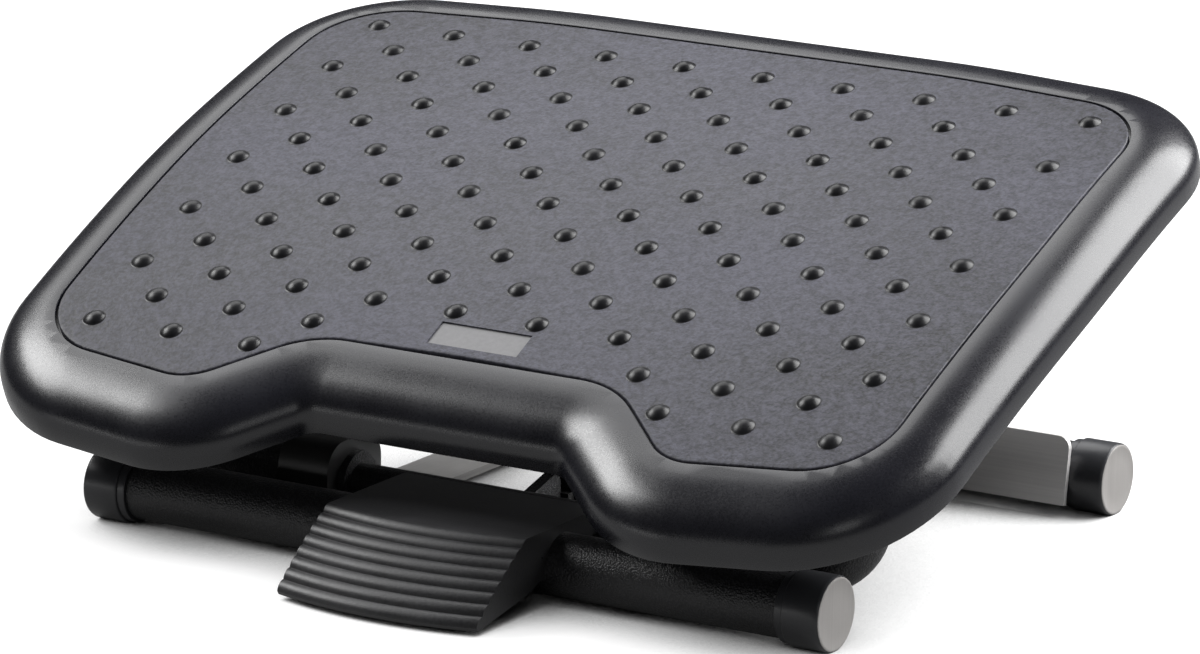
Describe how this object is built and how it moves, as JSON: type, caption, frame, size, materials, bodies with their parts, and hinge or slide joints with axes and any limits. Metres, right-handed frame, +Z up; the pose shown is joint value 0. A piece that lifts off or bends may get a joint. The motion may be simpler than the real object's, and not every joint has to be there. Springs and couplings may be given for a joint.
{
  "type": "footrest",
  "caption": "Tilting under desk footrest: textured crowned platform with raised domes on a hinged lift frame, released by a foot pedal.",
  "frame": {"origin": "on the floor, under the centre of the whole footrest as it stands", "axes": "+Z up, +X to the right of a seated user's view from the front, +Y from the user's side (pedal) towards the rear"},
  "size_m": [0.4448, 0.3296, 0.1826],
  "materials": {
    "black_powder_coat": "granular satin black powder coat",
    "cap_plastic": "satin moulded plastic",
    "silver_disc": "satin silver grey",
    "satin_steel_plate": "fine brushed satin",
    "shell_plastic": "smooth satin moulded plastic",
    "pad_plastic": "fine grained moulded plastic",
    "label_grey": "smooth satin",
    "pedal_plastic": "fine grained moulded plastic",
    "nylon_black": "satin nylon",
    "brake_rubber": "matte rubber",
    "zinc_steel": "zinc plated"
  },
  "bodies": {
    "base": {"brace_plate": "zinc_steel", "front_cap_left": "cap_plastic", "front_cap_right": "cap_plastic", "front_disc_left": "silver_disc", "front_disc_right": "silver_disc", "front_tube": "black_powder_coat", "lever_bracket": "zinc_steel", "lever_pin": "zinc_steel", "lift_bush_left": "nylon_black", "lift_bush_right": "nylon_black", "pedal_ring_left": "nylon_black", "pedal_ring_right": "nylon_black", "pivot_block_bolts": "zinc_steel", "pivot_block_left": "nylon_black", "pivot_block_right": "nylon_black", "rail_left": "satin_steel_plate", "rail_right": "satin_steel_plate", "rear_cap_left": "cap_plastic", "rear_cap_right": "cap_plastic", "rear_disc_left": "silver_disc", "rear_disc_right": "silver_disc", "rear_plate": "satin_steel_plate", "rear_plate_screws": "zinc_steel", "rear_tube": "black_powder_coat"},
    "lift": {"lift_arm_left": "black_powder_coat", "lift_arm_right": "black_powder_coat", "cross_shaft": "black_powder_coat", "arm_sleeve_left": "black_powder_coat", "arm_sleeve_right": "black_powder_coat", "brake_sector": "black_powder_coat"},
    "brake": {"brake_lever": "black_powder_coat", "brake_shoe": "brake_rubber"},
    "rod": {"release_rod": "zinc_steel"},
    "pedal": {"pedal": "pedal_plastic"},
    "platform": {"bracket_screws": "zinc_steel", "hinge_bracket_left": "zinc_steel", "hinge_bracket_right": "zinc_steel", "hinge_pin_left": "zinc_steel", "hinge_pin_right": "zinc_steel", "hinge_washers_left": "nylon_black", "hinge_washers_right": "nylon_black", "label_plate": "label_grey", "pin_clip_left": "zinc_steel", "pin_clip_right": "zinc_steel", "platform_pad": "pad_plastic", "platform_shell": "shell_plastic"}
  },
  "joints": [
    {"name": "lift_hinge", "type": "hinge", "parent": "base", "child": "lift", "pos_m": [0, -0.05513, 0.0211], "axis": [1, 0, 0], "range_deg": [-15, 0]},
    {"name": "tilt_hinge", "type": "hinge", "parent": "lift", "child": "platform", "pos_m": [0, 0.01235, 0.1063], "axis": [1, 0, 0], "range_deg": [-22.5, 5]},
    {"name": "pedal_hinge", "type": "hinge", "parent": "base", "child": "pedal", "pos_m": [0, -0.09493, 0.0149], "axis": [1, 0, 0], "range_deg": [-10, 0]},
    {"name": "rod_slide", "type": "slide", "parent": "base", "child": "rod", "axis": [0, 1, 0], "range_m": [-0.00178, 0]},
    {"name": "brake_hinge", "type": "hinge", "parent": "base", "child": "brake", "pos_m": [0, -0.01123, 0.0356], "axis": [1, 0, 0], "range_deg": [-3.3, 0]}
  ],
  "couplings": [
    {"joint": "rod_slide", "follows": "pedal_hinge", "m_per_rad": 0.0099},
    {"joint": "brake_hinge", "follows": "pedal_hinge", "ratio": 0.32353}
  ]
}
